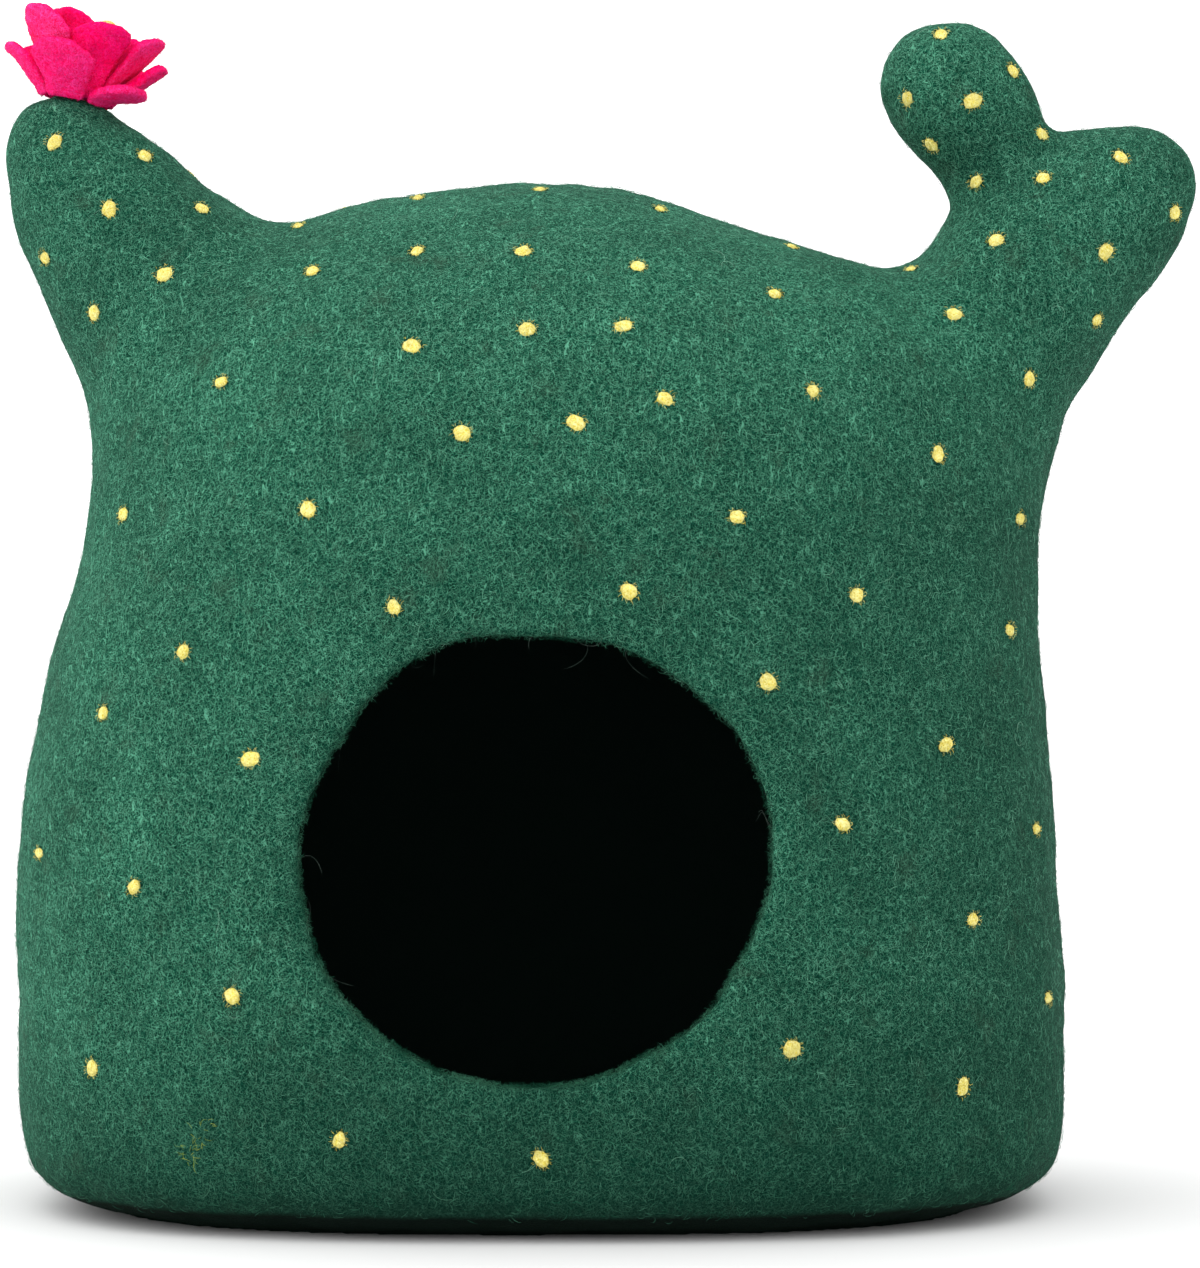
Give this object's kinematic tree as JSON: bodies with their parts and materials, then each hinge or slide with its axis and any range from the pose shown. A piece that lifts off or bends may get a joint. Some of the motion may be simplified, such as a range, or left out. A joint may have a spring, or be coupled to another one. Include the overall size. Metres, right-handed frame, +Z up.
{
  "type": "felt cat cave",
  "caption": "Hollow wool felt pet cave with a rounded body, a round doorway in front, two rounded arms on top and a felt flower on one arm.",
  "frame": {"origin": "middle of the flat base, on the surface that the cave stands on", "axes": "+Z up, the doorway faces -Y, +X to the right seen from the front, towards the forked arm"},
  "size_m": [0.4879, 0.3456, 0.4872],
  "materials": {
    "green_felt": "thick mottled wool felt",
    "pink_felt": "pressed wool felt",
    "yellow_felt": "wool felt"
  },
  "bodies": {
    "root": {"cave_shell": "green_felt", "petal_inner_1": "pink_felt", "petal_inner_2": "pink_felt", "petal_inner_3": "pink_felt", "petal_middle_1": "pink_felt", "petal_middle_2": "pink_felt", "petal_middle_3": "pink_felt", "petal_middle_4": "pink_felt", "petal_middle_5": "pink_felt", "petal_outer_1": "pink_felt", "petal_outer_2": "pink_felt", "petal_outer_3": "pink_felt", "petal_outer_4": "pink_felt", "petal_outer_5": "pink_felt", "petal_outer_6": "pink_felt", "flower_centre": "yellow_felt"}
  },
  "joints": []
}
